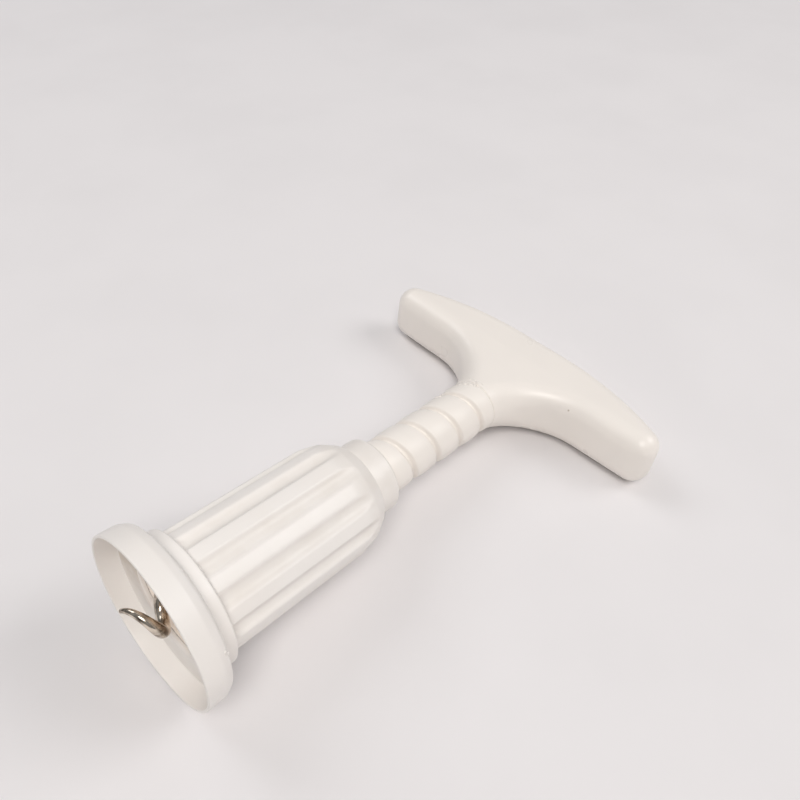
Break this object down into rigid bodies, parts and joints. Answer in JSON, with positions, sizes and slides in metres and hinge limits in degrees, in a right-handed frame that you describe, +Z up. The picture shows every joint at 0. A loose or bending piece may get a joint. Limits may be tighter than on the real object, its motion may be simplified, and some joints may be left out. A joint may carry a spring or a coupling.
{
  "type": "corkscrew",
  "caption": "Bell corkscrew with a T handle: a cup rests on the bottle, a fluted barrel nut draws the coarse plastic spindle, and a steel worm lifts the cork.",
  "frame": {"origin": "Middle of the bounding box at its base: the table that the corkscrew lies on, where the bell cup and the back of the handle touch it", "axes": "+X along the corkscrew from the mouth of the bell to the handle, +Y along the handle's left arm, +Z up from the table; the screw axis lies in the XZ plane and falls towards the handle by 5.7 degrees"},
  "size_m": [0.1438, 0.0974, 0.0441],
  "materials": {
    "bell_plastic": "satin",
    "barrel_plastic": "satin",
    "spindle_plastic": "satin",
    "handle_plastic": "satin",
    "worm_steel": "polished"
  },
  "bodies": {
    "cup": {"bell_cup": "bell_plastic"},
    "barrel": {"barrel": "barrel_plastic"},
    "screw": {"spindle": "spindle_plastic", "handle": "handle_plastic", "worm": "worm_steel"}
  },
  "joints": [
    {"name": "barrel_turn", "type": "hinge", "parent": "cup", "child": "barrel", "pos_m": [-0.03895, 0, 0.01926], "axis": [0.995, 0, -0.0999], "range_deg": [-180, 1490]},
    {"name": "handle_travel", "type": "slide", "parent": "cup", "child": "screw", "axis": [0.995, 0, -0.0999], "range_m": [-0.03829, 0.00463]}
  ],
  "couplings": [
    {"joint": "handle_travel", "follows": "barrel_turn", "m_per_rad": -0.0014722}
  ]
}
